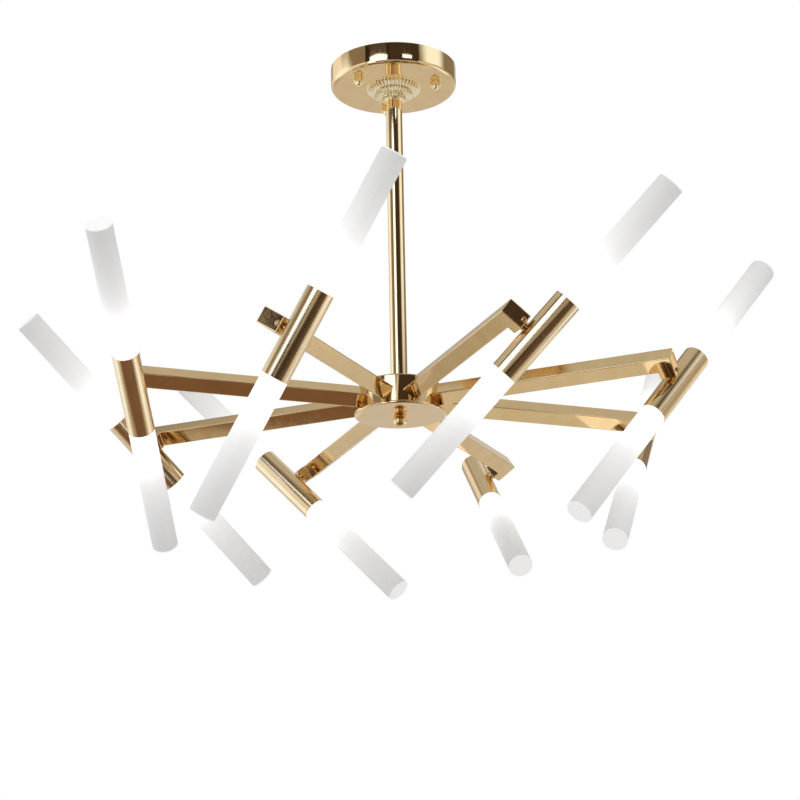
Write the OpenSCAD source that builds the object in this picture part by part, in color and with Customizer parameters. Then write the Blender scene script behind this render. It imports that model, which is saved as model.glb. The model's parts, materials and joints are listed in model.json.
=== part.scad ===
// Chandelier with eight square arms round a hub. Each arm turns down into a short leg,
// and a lamp head with two frosted rods swivels on that leg.
// Millimetres, +Z up. The origin is on the ceiling, at the centre of the canopy.

/* [Canopy] */
// Outside diameter of the canopy
canopy_d = 150; // [140:1:200]
// Drop of the canopy's underside below the ceiling
canopy_h = 26; // [21:1:40]
// Sheet thickness of the canopy
canopy_wall = 1.5; // [1:0.1:2.5]
// Radius of the canopy's lower edge
canopy_edge_r = 5.5; // [3:0.5:6]
// Distance of the three studs from the centre
stud_reach = 53; // [46:1:56]
// Direction of the first stud, seen from below
stud_turn = 101; // [90:1:119]
// Diameter of the studs
stud_d = 4; // [3:0.5:6]
// Diameter of the knurled nuts under the canopy
canopy_nut_d = 13.5; // [10:0.5:16]
// Length of the knurled part of each canopy nut
canopy_nut_grip = 6; // [5:0.5:12]

/* [Ceiling bracket] */
// Thickness of the bracket plate
bracket_t = 2; // [1.5:0.5:3]
// Width of the bracket's crossbar and legs
bracket_w = 18; // [14:1:24]
// Distance between the two ceiling screw holes
screw_spacing = 70; // [60:1:80]
// Diameter of the ceiling screw holes
screw_hole_d = 5; // [4:0.5:6]
// Diameter of the hole that the mains lead comes through
lead_hole_d = 12; // [8:1:14]

/* [Stem] */
// Length of the stem between canopy and hub
stem_len = 371; // [150:1:900]
// Outside diameter of the stem
stem_d = 19.5; // [15:0.5:25]
// Wall of the stem tube
stem_wall = 1.5; // [1:0.1:2]
// Length of the threaded insert at each end of the stem
insert_len = 14; // [10:1:25]
// Diameter of the collar's first fluted tier
collar_d1 = 64; // [56:1:74]
// Diameter of the middle tier
collar_d2 = 48; // [40:1:54]
// Diameter of the lowest tier
collar_d3 = 31; // [29:1:38]
// Height of the fluted rim of each tier
collar_rim_h = 2.4; // [1.5:0.1:2.8]
// Height of the collar's first tier, with its slope
collar_h1 = 6; // [4:0.5:8]
// Height of the middle tier
collar_h2 = 5; // [4:0.5:8]
// Height of the lowest tier
collar_h3 = 3.2; // [3:0.1:6]
// Height of the plain ring under the tiers
collar_ring_h = 2; // [1:0.5:8]

/* [Hub] */
// Outside diameter of the hub
hub_d = 94; // [84:1:110]
// Height of the hub shell
hub_h = 33; // [30:0.5:45]
// Wall of the hub shell
hub_wall = 2.5; // [2:0.1:4]
// Radius of the hub's upper edge
hub_edge_r = 2; // [1:0.5:4]
// Diameter of the mirror disc under the hub
disc_d = 105; // [100:1:130]
// Thickness of the mirror disc
disc_h = 4; // [4:0.5:9]
// Diameter of the hollow threaded rods
thread_d = 10; // [9:0.5:11]
// Bore of the hollow threaded rods
thread_bore = 6; // [5:0.5:6.5]
// Diameter of the ball nut under the disc
finial_d = 16.5; // [14:0.5:20]

/* [Arms] */
// Side of the square arm tube
arm_w = 18.6; // [17:0.2:19]
// Wall of the arm tube
arm_wall = 1.5; // [1:0.1:2]
// Radius of the arm's long edges
arm_edge_r = 1.2; // [0.4:0.1:1.5]
// Gap between the arms' lowest edges and the mirror disc
arm_rest_gap = 1.8; // [0.3:0.1:4]
// Distance from the stem's axis to the middle of each leg
arm_reach = 320; // [240:1:450]
// How far each leg stands out from the side of its arm
leg_out = 9.1; // [8:0.1:30]
// Thickness of the solid block in each leg's end
leg_block = 8; // [6.5:0.5:10]
// Roll of arm 1 about its own length
arm_roll_1 = 38; // [20:1:50]
// Roll of arm 2
arm_roll_2 = 34; // [20:1:50]
// Roll of arm 3
arm_roll_3 = 36; // [20:1:50]
// Roll of arm 4
arm_roll_4 = 44; // [20:1:50]
// Roll of arm 5
arm_roll_5 = 47; // [20:1:50]
// Roll of arm 6
arm_roll_6 = 34; // [20:1:50]
// Roll of arm 7
arm_roll_7 = 38; // [20:1:50]
// Roll of arm 8
arm_roll_8 = 35; // [20:1:50]

/* [Lamp heads] */
// Diameter of the lamp holder
holder_d = 30; // [28.5:0.5:40]
// Length of the lamp holder
holder_len = 100; // [96:1:160]
// Wall of the holder round its sockets
holder_wall = 1.2; // [0.8:0.1:2]
// Length of the solid web in the middle of the holder
web_len = 26; // [14:1:28]
// Gap between a leg's end and its lamp holder
swivel_gap = 3.2; // [2:0.1:12]
// Diameter of the swivel pin
pin_d = 8; // [7:0.5:8.5]
// Diameter of each frosted rod
rod_d = 29.2; // [28.4:0.1:39]
// Visible length of each frosted rod
rod_len = 160; // [90:1:250]
// Length of the rod's spigot inside the holder
spigot_len = 14; // [10:1:16]
// Diameter of the hollow that the bulb stands in
bulb_bore_d = 20; // [18:0.5:22]
// Diameter of the lamp socket
socket_d = 22; // [16:0.5:24]
// Height of the lamp socket
socket_h = 18; // [14:0.5:20]
// Diameter of the light bulb
bulb_d = 15; // [12:0.5:16]
// Length of the light bulb
bulb_len = 56; // [40:1:66]
// Tilt of lamp 1 from square to its arm
lamp_tilt_1 = 27; // [-60:1:60]
// Tilt of lamp 2
lamp_tilt_2 = 35; // [-60:1:60]
// Tilt of lamp 3
lamp_tilt_3 = 27; // [-60:1:60]
// Tilt of lamp 4
lamp_tilt_4 = 24; // [-60:1:60]
// Tilt of lamp 5
lamp_tilt_5 = 21; // [-60:1:60]
// Tilt of lamp 6
lamp_tilt_6 = 3; // [-60:1:60]
// Tilt of lamp 7
lamp_tilt_7 = 27; // [-60:1:60]
// Tilt of lamp 8
lamp_tilt_8 = 22; // [-60:1:60]

/* [Small parts] */
// Width across the corners of the lock nuts
lock_nut_d = 16; // [15:0.5:18]
// Thickness of the lock nuts
lock_nut_h = 3; // [2:0.5:4]
// Diameter of the set screws' shanks
set_screw_d = 3; // [2:0.5:4]
// Diameter of the set screws' heads
set_head_d = 5.6; // [5:0.2:8]
// Diameter of the supply lead in the stem
supply_d = 4.6; // [3:0.1:4.8]
// Diameter of the lead in each arm
lead_d = 3; // [2:0.1:3.5]

/* [Fits] */
// Radial clearance of pieces that slide together
slip = 0.1; // [0.05:0.05:0.3]
// Radial clearance of the swivel pins in their legs
running = 0.1; // [0.02:0.01:0.15]
// End play of the swivel pins
end_play = 0.1; // [0.05:0.05:0.3]

/* [Hidden] */
$fn = 96;
// How far a cutting shape runs past the face that it cuts
cut = 1;
arm_count = 8;
arm_ids = [for (k = [1:arm_count]) k];
stud_count = 3;
arm_rolls = [arm_roll_1, arm_roll_2, arm_roll_3, arm_roll_4,
             arm_roll_5, arm_roll_6, arm_roll_7, arm_roll_8];
lamp_tilts = [lamp_tilt_1, lamp_tilt_2, lamp_tilt_3, lamp_tilt_4,
              lamp_tilt_5, lamp_tilt_6, lamp_tilt_7, lamp_tilt_8];

// Heights of the canopy, the hub and the arms
canopy_z = -canopy_h;
hub_top_z = canopy_z - stem_len;
disc_top_z = hub_top_z - hub_h;
disc_z = disc_top_z - disc_h;
widest_roll = max([for (a = arm_rolls) cos(a) + sin(a)]);
arm_z = disc_top_z + arm_rest_gap + arm_w / 2 * widest_roll;

// Ceiling bracket and its studs
bracket_end = 14;
stud_len = canopy_h + canopy_nut_grip - bracket_t;
nut_dome_r = 0.32 * canopy_nut_d;
nut_flute = 0.6;
collar_flute = 1.2;
collar_ring_w = 0.9;

// Hub
hub_r = hub_d / 2;
hub_inner_r = hub_r - hub_wall;
thread_r = thread_d / 2;
thread_hole_r = thread_r + slip;
nut_seat_r = sqrt(pow(hub_inner_r, 2) - pow(lock_nut_d / 2, 2)) - slip;
tail_past_nut = 2;
tail_end_r = nut_seat_r - lock_nut_h - tail_past_nut;
finial_rim = 0.8;
finial_seat_r = thread_r + finial_rim;
finial_centre = sqrt(pow(finial_d / 2, 2) - pow(finial_seat_r, 2));
finial_bite = finial_centre + cut;

// Leg, swivel and lamp head, in the arm's own frame:
// X out along the arm, Y along the leg, Z square to both
half_w = arm_w / 2;
leg_end = half_w + leg_out;
holder_r = holder_d / 2;
lamp_out = leg_end + swivel_gap + holder_r;
pin_r = pin_d / 2;
pin_head_rim = 2;
pin_head_r = pin_r + pin_head_rim;
pin_head_h = 2.5;
pin_bore_r = pin_r / 2;
pin_seat = 2;
plug_t = 3;
spacer_w = 1.2;
spacer_r = pin_r + spacer_w;
spotface = 1;
block_start = leg_end - leg_block;
set_screw_y = leg_end - leg_block / 2;
set_head_h = 2.4;

// Inside the lamp holder
socket_bore_r = holder_r - holder_wall;
socket_z = web_len / 2;
lead_way_d = 5;
holder_edge = 0.6;
rod_edge = 0.8;
bulb_bore_depth = spigot_len + bulb_len - (holder_len / 2 - socket_z - socket_h - spigot_len);
spigot_r = socket_bore_r - slip;

// Terminal ring in the hub and the spare length of the supply lead
ring_w = 12;
ring_cover = 2;
ring_h = lead_d + 2 * ring_cover;
ring_inner_r = thread_r + slip;
ring_r = ring_inner_r + ring_w;
supply_spare = 8;

// ---- Shapes used by several parts ----

// A disc with one rounded edge, at its foot
module round_foot_disc(r, h, edge) {
    rotate_extrude() {
        square([r - edge, h]);
        translate([0, edge]) square([r, h - edge]);
        translate([r - edge, edge]) intersection() {
            circle(edge);
            translate([-edge, -edge]) square(2 * edge);
        }
    }
}

// A square bar with small round edges, standing on Z
module square_bar(w, h, edge) {
    linear_extrude(h) {
        square([w, w - 2 * edge], center = true);
        square([w - 2 * edge, w], center = true);
        for (x = [-1, 1], y = [-1, 1])
            translate([x, y] * (w / 2 - edge)) circle(edge, $fn = 32);
    }
}

// A disc whose rim is cut into flutes
module fluted_disc(d, h, flutes, depth) {
    flute_r = 0.36 * PI * d / flutes;
    linear_extrude(h) difference() {
        circle(d = d);
        for (i = [0:flutes - 1])
            rotate(i * 360 / flutes) translate([d / 2 + flute_r - depth, 0])
                circle(flute_r, $fn = 24);
    }
}

module hex_nut(d, h, hole_r) {
    difference() {
        cylinder(d = d, h = h, $fn = 6);
        translate([0, 0, -cut]) cylinder(r = hole_r, h = h + 2 * cut);
    }
}

// Places a child at arm k: X out along the arm, Y along its leg
module at_arm(k) {
    rotate([0, 0, (k - 0.5) * 360 / arm_count])
        translate([0, 0, arm_z]) rotate([-arm_rolls[k - 1], 0, 0]) children();
}

// Places a child in lamp k: Z up the lamp, Y away from the leg
module at_lamp(k) {
    at_arm(k) translate([arm_reach, lamp_out, 0]) rotate([0, lamp_tilts[k - 1], 0]) children();
}

// Lays a child that stands on Z along +Y
module along_y() {
    rotate([-90, 0, 0]) children();
}

// ---- Ceiling and stem ----

module ceiling_bracket() {
    bar_len = screw_spacing + 2 * bracket_end;
    color("silver") {
        difference() {
            translate([0, 0, -bracket_t]) union() {
                translate([-bar_len / 2, -bracket_w / 2, 0]) cube([bar_len, bracket_w, bracket_t]);
                for (i = [0:stud_count - 1]) rotate(stud_turn + i * 360 / stud_count) {
                    translate([0, -bracket_w / 2, 0]) cube([stud_reach, bracket_w, bracket_t]);
                    translate([stud_reach, 0, 0]) cylinder(d = bracket_w, h = bracket_t);
                }
            }
            translate([0, 0, -bracket_t - cut]) {
                cylinder(d = lead_hole_d, h = bracket_t + 2 * cut);
                for (x = [-1, 1]) translate([x * screw_spacing / 2, 0, 0])
                    cylinder(d = screw_hole_d, h = bracket_t + 2 * cut);
            }
        }
        for (i = [0:stud_count - 1]) rotate(stud_turn + i * 360 / stud_count)
            translate([stud_reach, 0, -bracket_t - stud_len])
                cylinder(d = stud_d, h = stud_len + bracket_t / 2);
    }
}

module canopy() {
    color("gold") translate([0, 0, canopy_z]) difference() {
        round_foot_disc(canopy_d / 2, canopy_h, canopy_edge_r);
        translate([0, 0, canopy_wall])
            round_foot_disc(canopy_d / 2 - canopy_wall, canopy_h, canopy_edge_r - canopy_wall);
        translate([0, 0, -cut]) cylinder(r = thread_hole_r, h = canopy_wall + 2 * cut);
        for (i = [0:stud_count - 1]) rotate(stud_turn + i * 360 / stud_count)
            translate([stud_reach, 0, -cut])
                cylinder(d = stud_d + 4 * slip, h = canopy_wall + 2 * cut);
    }
}

module canopy_nuts() {
    color("gold") for (i = [0:stud_count - 1]) rotate(stud_turn + i * 360 / stud_count)
        translate([stud_reach, 0, canopy_z - canopy_nut_grip]) difference() {
            union() {
                fluted_disc(canopy_nut_d, canopy_nut_grip, 20, nut_flute);
                sphere(nut_dome_r);
            }
            cylinder(d = stud_d + 2 * running, h = canopy_nut_grip + cut);
        }
}

// A fluted rim over a slope that ends at radius r
module collar_tier(d, flutes, h, r) {
    translate([0, 0, -collar_rim_h]) fluted_disc(d, collar_rim_h, flutes, collar_flute);
    translate([0, 0, -h])
        cylinder(r1 = r, r2 = d / 2 - collar_flute, h = h - collar_rim_h);
}

module stem_collar() {
    tier3_top = -collar_h1 - collar_h2;
    ring_top = tier3_top - collar_h3;
    collar_ring_r = stem_d / 2 + collar_ring_w;
    color("gold") translate([0, 0, canopy_z]) difference() {
        union() {
            collar_tier(collar_d1, 44, collar_h1, collar_d2 / 2 - collar_flute);
            translate([0, 0, -collar_h1])
                collar_tier(collar_d2, 36, collar_h2, collar_d3 / 2 - collar_flute);
            translate([0, 0, tier3_top]) collar_tier(collar_d3, 24, collar_h3, collar_ring_r);
            translate([0, 0, ring_top - collar_ring_h])
                cylinder(r = collar_ring_r, h = collar_ring_h);
        }
        translate([0, 0, ring_top - collar_ring_h - cut])
            cylinder(d = stem_d + 2 * slip, h = -ring_top + collar_ring_h + 2 * cut);
    }
}

// Tube with a threaded insert at each end; the upper one ends in a hollow tail
module stem_tube() {
    tail_len = canopy_wall + lock_nut_h + 2 * tail_past_nut;
    color("gold") translate([0, 0, hub_top_z]) difference() {
        union() {
            cylinder(d = stem_d, h = stem_len);
            cylinder(r = thread_r, h = stem_len + tail_len);
        }
        translate([0, 0, insert_len])
            cylinder(d = stem_d - 2 * stem_wall, h = stem_len - 2 * insert_len);
        translate([0, 0, -cut]) cylinder(r = thread_r + running, h = insert_len + 2 * cut);
        cylinder(d = thread_bore, h = stem_len + tail_len + cut);
    }
}

// ---- Hub ----

// Hollow rod that ties the stem, the hub and the ball nut together
module hub_rod() {
    bottom = disc_z - finial_bite;
    top = hub_top_z + insert_len - cut;
    color("silver") difference() {
        translate([0, 0, bottom]) cylinder(r = thread_r, h = top - bottom);
        translate([0, 0, disc_z]) cylinder(d = thread_bore, h = top - disc_z + cut);
        translate([0, 0, arm_z]) for (a = [0, 90]) rotate([90, 0, a + 45])
            cylinder(r = lead_d / 2 + cut, h = thread_d + 2 * cut, center = true);
    }
}

module hub_shell() {
    color("gold") difference() {
        translate([0, 0, hub_top_z]) mirror([0, 0, 1])
            round_foot_disc(hub_r, hub_h, hub_edge_r);
        translate([0, 0, disc_top_z - cut]) cylinder(r = hub_inner_r, h = hub_h - hub_wall + cut);
        translate([0, 0, hub_top_z - hub_wall - cut])
            cylinder(r = thread_hole_r, h = hub_wall + 2 * cut);
        for (k = arm_ids) at_arm(k) translate([tail_end_r, 0, 0]) rotate([0, 90, 0])
            cylinder(r = thread_hole_r, h = hub_r + cut - tail_end_r);
    }
}

module hub_disc() {
    edge = disc_h * 0.4;
    spigot_h = 1.5;
    color("gold") difference() {
        union() {
            translate([0, 0, disc_z]) rotate_extrude() {
                square([disc_d / 2 - edge, disc_h]);
                translate([0, edge]) square([disc_d / 2, disc_h - 2 * edge]);
                for (y = [edge, disc_h - edge]) translate([disc_d / 2 - edge, y]) circle(edge);
            }
            translate([0, 0, disc_top_z]) cylinder(r = hub_inner_r - slip, h = spigot_h);
        }
        translate([0, 0, disc_z - cut])
            cylinder(r = thread_hole_r, h = disc_h + spigot_h + 2 * cut);
    }
}

module finial_nut() {
    color("gold") difference() {
        translate([0, 0, disc_z - finial_centre]) sphere(d = finial_d);
        translate([0, 0, disc_z]) cylinder(d = finial_d + 2 * cut, h = finial_d);
        translate([0, 0, disc_z - finial_bite]) cylinder(r = thread_r + running, h = finial_d);
    }
}

module lock_nuts() {
    hole_r = thread_r + running;
    color("silver") {
        translate([0, 0, canopy_z + canopy_wall]) hex_nut(lock_nut_d, lock_nut_h, hole_r);
        translate([0, 0, hub_top_z - hub_wall - lock_nut_h])
            hex_nut(lock_nut_d, lock_nut_h, hole_r);
        for (k = arm_ids) at_arm(k) translate([nut_seat_r - lock_nut_h, 0, 0])
            rotate([0, 90, 0]) hex_nut(lock_nut_d, lock_nut_h, hole_r);
    }
}

// ---- Arms ----

// Square tube with a mitred leg, a solid block in the leg's end and a threaded tail
module arm(k) {
    inner_w = arm_w - 2 * arm_wall;
    start = hub_inner_r - arm_edge_r;
    plug = hub_r + plug_t;
    color("gold") at_arm(k) difference() {
        union() {
            difference() {
                union() {
                    translate([start, 0, 0]) rotate([0, 90, 0])
                        square_bar(arm_w, arm_reach + half_w - start, arm_edge_r);
                    translate([arm_reach, -half_w, 0]) along_y()
                        square_bar(arm_w, half_w + leg_end, arm_edge_r);
                }
                rotate([arm_rolls[k - 1], 0, 0])
                    cylinder(r = hub_r + running, h = 4 * arm_w, center = true);
            }
            translate([tail_end_r, 0, 0]) rotate([0, 90, 0])
                cylinder(r = thread_r, h = plug - tail_end_r);
        }
        translate([plug, -inner_w / 2, -inner_w / 2])
            cube([arm_reach + inner_w / 2 - plug, inner_w, inner_w]);
        translate([arm_reach - inner_w / 2, -inner_w / 2, -inner_w / 2])
            cube([inner_w, inner_w / 2 + block_start, inner_w]);
        translate([arm_reach, block_start - cut, 0]) along_y()
            cylinder(r = pin_r + running, h = leg_block + 2 * cut);
        translate([arm_reach, set_screw_y, 0]) rotate([0, 90, 0])
            cylinder(d = set_screw_d + 2 * running, h = arm_w);
        translate([tail_end_r - cut, 0, 0]) rotate([0, 90, 0])
            cylinder(d = thread_bore, h = plug - tail_end_r + 2 * cut);
    }
}

// Screws that lock each swivel pin, with a cross slot in a low round head
module set_screws() {
    tip = pin_r + 3 * slip;
    slot_w = 0.8;
    slot_depth = 1;
    color("gold") for (k = arm_ids) at_arm(k) translate([arm_reach, set_screw_y, 0])
        rotate([0, 90, 0]) difference() {
            union() {
                translate([0, 0, tip]) cylinder(d = set_screw_d, h = half_w - tip + cut);
                translate([0, 0, half_w]) cylinder(d = set_head_d, h = set_head_h * 0.6);
                translate([0, 0, half_w + set_head_h * 0.6])
                    cylinder(d1 = set_head_d, d2 = set_head_d * 0.6, h = set_head_h * 0.4);
            }
            for (a = [0, 90]) rotate(a) translate([0, 0, half_w + set_head_h])
                cube([set_head_d * 0.7, slot_w, 2 * slot_depth], center = true);
        }
}

// ---- Lamp heads ----

// Hollow pin with a head inside the leg, and the spacer ring between leg and holder
module swivel_pin(k) {
    head_y = block_start - pin_head_h - end_play - lamp_out;
    pin_tip = -pin_seat;
    ring_start = leg_end + end_play - lamp_out;
    ring_len = swivel_gap + spotface - end_play;
    color("goldenrod") at_lamp(k) {
        translate([0, head_y, 0]) along_y() difference() {
            union() {
                cylinder(r = pin_head_r, h = pin_head_h);
                cylinder(r = pin_r, h = pin_tip - head_y);
            }
            translate([0, 0, -cut]) cylinder(r = pin_bore_r, h = pin_tip - head_y + 2 * cut);
        }
        translate([0, ring_start, 0]) along_y() difference() {
            cylinder(r = spacer_r, h = ring_len);
            translate([0, 0, -cut]) cylinder(r = pin_r + running, h = ring_len + 2 * cut);
        }
    }
}

module lamp_holder(k) {
    socket_depth = holder_len / 2 - socket_z;
    color("tan") at_lamp(k) difference() {
        union() {
            cylinder(r = holder_r, h = holder_len - 2 * holder_edge, center = true);
            for (m = [0, 1]) mirror([0, 0, m]) translate([0, 0, holder_len / 2 - holder_edge])
                cylinder(r1 = holder_r, r2 = holder_r - holder_edge / 2, h = holder_edge);
        }
        for (m = [0, 1]) mirror([0, 0, m]) translate([0, 0, socket_z])
            cylinder(r = socket_bore_r, h = socket_depth + cut);
        cylinder(d = lead_way_d, h = web_len + 2 * cut, center = true);
        translate([0, -holder_r - cut, 0]) along_y() {
            cylinder(r = spacer_r + slip, h = spotface + cut);
            cylinder(r = pin_r + running, h = holder_r - pin_seat + cut);
        }
    }
}

// Frosted rod with a spigot for the holder and a hollow for the bulb
module frosted_rod() {
    color("white") difference() {
        union() {
            translate([0, 0, -spigot_len]) cylinder(r = spigot_r, h = spigot_len + rod_edge);
            cylinder(d = rod_d, h = rod_len - rod_edge);
            translate([0, 0, rod_len - rod_edge])
                cylinder(d1 = rod_d, d2 = rod_d - 2 * rod_edge, h = rod_edge);
        }
        translate([0, 0, -spigot_len - cut]) cylinder(d = bulb_bore_d, h = bulb_bore_depth + cut);
    }
}

module upper_rod(k) {
    at_lamp(k) translate([0, 0, holder_len / 2]) frosted_rod();
}

module lower_rod(k) {
    at_lamp(k) mirror([0, 0, 1]) translate([0, 0, holder_len / 2]) frosted_rod();
}

// A socket and its bulb at each end of the web
module light_units(k) {
    bulb_r = bulb_d / 2;
    at_lamp(k) for (m = [0, 1]) mirror([0, 0, m]) translate([0, 0, socket_z]) {
        color("ivory") cylinder(d = socket_d, h = socket_h);
        color("white") translate([0, 0, socket_h]) {
            cylinder(r = bulb_r, h = bulb_len - bulb_r);
            translate([0, 0, bulb_len - bulb_r]) sphere(bulb_r);
        }
    }
}

// ---- Wiring: the supply lead, the terminal ring in the hub and a lead in each arm ----

module wiring() {
    supply_top = canopy_z + canopy_wall + lock_nut_h + supply_spare;
    color("dimgray") {
        translate([0, 0, arm_z]) cylinder(d = supply_d, h = supply_top - arm_z);
        difference() {
            translate([0, 0, arm_z - ring_h / 2]) cylinder(r = ring_r, h = ring_h);
            translate([0, 0, arm_z - ring_h]) cylinder(r = ring_inner_r, h = 2 * ring_h);
        }
        for (k = arm_ids) at_arm(k) {
            translate([ring_r, 0, 0]) rotate([0, 90, 0])
                cylinder(d = lead_d, h = arm_reach - ring_r);
            translate([arm_reach, 0, 0]) {
                sphere(d = lead_d);
                along_y() cylinder(d = lead_d, h = block_start - pin_head_h - cut);
            }
        }
    }
}

ceiling_bracket();
canopy();
canopy_nuts();
stem_collar();
stem_tube();
hub_rod();
hub_shell();
hub_disc();
finial_nut();
lock_nuts();
set_screws();
wiring();
for (k = arm_ids) {
    arm(k);
    swivel_pin(k);
    lamp_holder(k);
    upper_rod(k);
    lower_rod(k);
    light_units(k);
}
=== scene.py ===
# Chandelier with eight square arms round a drum hub. Each arm ends in a short leg that
# carries a brushed lamp holder with two frosted rods. Metres, +Z up, ceiling at Z 0.
import json
import math

import bmesh
import bpy
from mathutils import Matrix, Vector


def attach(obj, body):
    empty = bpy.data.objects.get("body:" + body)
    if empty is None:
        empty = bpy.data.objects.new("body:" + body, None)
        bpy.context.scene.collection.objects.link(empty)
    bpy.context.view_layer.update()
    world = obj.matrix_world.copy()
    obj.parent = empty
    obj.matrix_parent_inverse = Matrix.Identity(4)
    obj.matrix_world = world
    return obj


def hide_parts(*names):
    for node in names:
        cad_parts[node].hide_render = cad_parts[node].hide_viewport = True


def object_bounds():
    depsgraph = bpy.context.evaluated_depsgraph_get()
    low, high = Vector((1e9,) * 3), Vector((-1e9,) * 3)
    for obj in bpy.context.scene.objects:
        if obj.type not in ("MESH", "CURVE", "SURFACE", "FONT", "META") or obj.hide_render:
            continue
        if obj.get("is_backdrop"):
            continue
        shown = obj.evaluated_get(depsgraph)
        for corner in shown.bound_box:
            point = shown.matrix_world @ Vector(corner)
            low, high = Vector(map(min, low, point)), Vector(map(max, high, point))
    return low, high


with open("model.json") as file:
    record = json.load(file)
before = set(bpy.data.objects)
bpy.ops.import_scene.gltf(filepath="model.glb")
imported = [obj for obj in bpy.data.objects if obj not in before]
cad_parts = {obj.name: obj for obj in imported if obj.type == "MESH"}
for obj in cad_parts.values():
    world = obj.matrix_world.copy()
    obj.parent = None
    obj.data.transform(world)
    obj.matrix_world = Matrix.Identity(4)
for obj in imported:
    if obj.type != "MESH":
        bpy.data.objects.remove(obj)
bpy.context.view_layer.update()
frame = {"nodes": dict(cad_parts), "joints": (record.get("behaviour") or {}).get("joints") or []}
nodes = frame["nodes"]

MM = 0.001

# Sizes of the visible pieces, in millimetres. The canopy's wall is fullest CANOPY_FULLEST above
# its foot and draws in by CANOPY_FULLNESS times the square of the way from there.
CANOPY_R, CANOPY_DROP, CANOPY_WALL, CANOPY_EDGE = 75.0, 26.0, 1.5, 5.5
CANOPY_HOLE_R, CANOPY_FULLEST, CANOPY_FULLNESS = 10.2, 19.0, 0.0014
CANOPY_RISES = (7.5, 10.0, 12.5, 15.0, 17.5, 20.0, 22.0, 24.0, 26.0)
STUD_COUNT, STUD_REACH, STUD_TURN = 3, 53.0, 101.0
NUT_R, NUT_GRIP, NUT_DOME, NUT_EDGE, NUT_EDGE_RISE = 6.75, 6.0, 4.3, 0.7, 0.6
DOME_GAP, KNURLS, KNURL_DEPTH, KNURL_MARGIN = 0.02, 20, 0.7, 0.3
STEM_R, STEM_LEN, STEM_EDGE = 9.75, 371.0, 0.3
TIERS = [(32.0, 6.0, 44), (24.0, 5.0, 36), (15.5, 3.2, 24)]  # radius, height and flutes
TIER_RIM, TIER_FOOT_EDGE, TIER_TOP_EDGE, TIER_MARGIN = 2.4, 0.5, 0.3, 0.1
FLUTE_DEPTH, SLOPE_DEPTH, RIM_FOOT_DEPTH = 1.0, 0.6, 0.9
COLLAR_RING_R, COLLAR_RING_H, RING_FOOT_EDGE, RING_TOP_EDGE = 10.65, 2.0, 0.4, 0.3
HUB_R, HUB_H, HUB_EDGE, HUB_LIP = 47.0, 33.0, 2.0, 1.3
DISC_R, DISC_H, DISC_EDGE = 52.5, 4.0, 1.6
BALL_R, BALL_SEAT_R = 8.25, 5.8
ARM_COUNT, ARM_W, ARM_EDGE, ARM_REACH, ARM_ROOT = 8, 18.6, 1.2, 320.0, 2.0
LEG_END, LAMP_OUT = 18.4, 36.6
SCREW_HEAD_R, SCREW_HEAD_H, SCREW_IN, SCREW_EDGE = 2.8, 2.4, 4.0, 0.12
# The screw's head in shares of its radius and height. The slots' length is a share of the radius
# too, and the first screw's turn is in radians.
SCREW_PROFILE = ((1.0, 0.0), (1.0, 0.45), (0.93, 0.68), (0.78, 0.86), (0.55, 1.0))
SLOT_LONG, SLOT_WIDE, SLOT_DEEP, FIRST_TURN = 1.4, 0.8, 2.0, 0.5
HOLDER_R, HOLDER_LEN, HOLDER_WALL, HOLDER_WEB = 15.0, 100.0, 1.2, 13.0
ROD_R, ROD_LEN, ROD_EDGE, ROD_TIP_EDGE = 14.6, 160.0, 0.3, 0.7
SPIGOT_LEN, SPIGOT_PLAY, SPIGOT_EDGE = 14.0, 0.1, 0.4
PIN_R, PIN_HEAD_R, PIN_HEAD_IN, PIN_NECK_IN, PIN_END_IN = 4.0, 6.0, 10.5, 8.0, 2.0
SPACER_R, SPACER_EDGE, SPACER_IN, SPACER_TOP = 5.2, 0.3, 0.9, 1.0
SWIVEL_GAP, END_PLAY = 3.2, 0.1

# Sides of each turned piece
CANOPY_SIDES, NUT_SIDES, SIDES_A_FLUTE, RING_SIDES, STEM_SIDES = 192, 240, 12, 96, 128
HUB_SIDES, DISC_SIDES, BALL_SIDES, BALL_RINGS, SCREW_SIDES = 160, 192, 64, 32, 48
HOLDER_SIDES, ROD_SIDES, PIN_SIDES = 128, 96, 64

HUB_TOP = -CANOPY_DROP - STEM_LEN
DISC_TOP = HUB_TOP - HUB_H
DISC_FOOT = DISC_TOP - DISC_H


# ---- Working by hand in edit mode ----


def only(piece):
    """Leaves this piece alone selected and active."""
    if bpy.context.object and bpy.context.object.mode != "OBJECT":
        bpy.ops.object.mode_set(mode="OBJECT")
    bpy.ops.object.select_all(action="DESELECT")
    piece.select_set(True)
    bpy.context.view_layer.objects.active = piece


def fresh(name):
    """Names the primitive that was just added."""
    piece = bpy.context.object
    piece.name = piece.data.name = name
    return piece


def open_up(piece, kind="FACE"):
    """Goes into edit mode on this piece, selecting by faces, edges or corners."""
    only(piece)
    bpy.ops.object.mode_set(mode="EDIT")
    bpy.ops.mesh.select_mode(type=kind)


def close_up():
    bpy.ops.object.mode_set(mode="OBJECT")


def choose(piece, kind, wanted):
    """Selects the faces, edges or corners whose middle (and normal or direction) is wanted."""
    bpy.ops.mesh.select_mode(type=kind)
    bpy.ops.mesh.select_all(action="DESELECT")
    shape = bmesh.from_edit_mesh(piece.data)
    if kind == "FACE":
        for face in shape.faces:
            face.select_set(bool(wanted(face.calc_center_median() / MM, face.normal)))
    elif kind == "EDGE":
        for edge in shape.edges:
            a, b = (v.co for v in edge.verts)
            edge.select_set(bool(wanted((a + b) / 2 / MM, (b - a).normalized())))
    else:
        for corner in shape.verts:
            corner.select_set(bool(wanted(corner.co / MM, None)))
    shape.select_flush_mode()
    bmesh.update_edit_mesh(piece.data)


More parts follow.
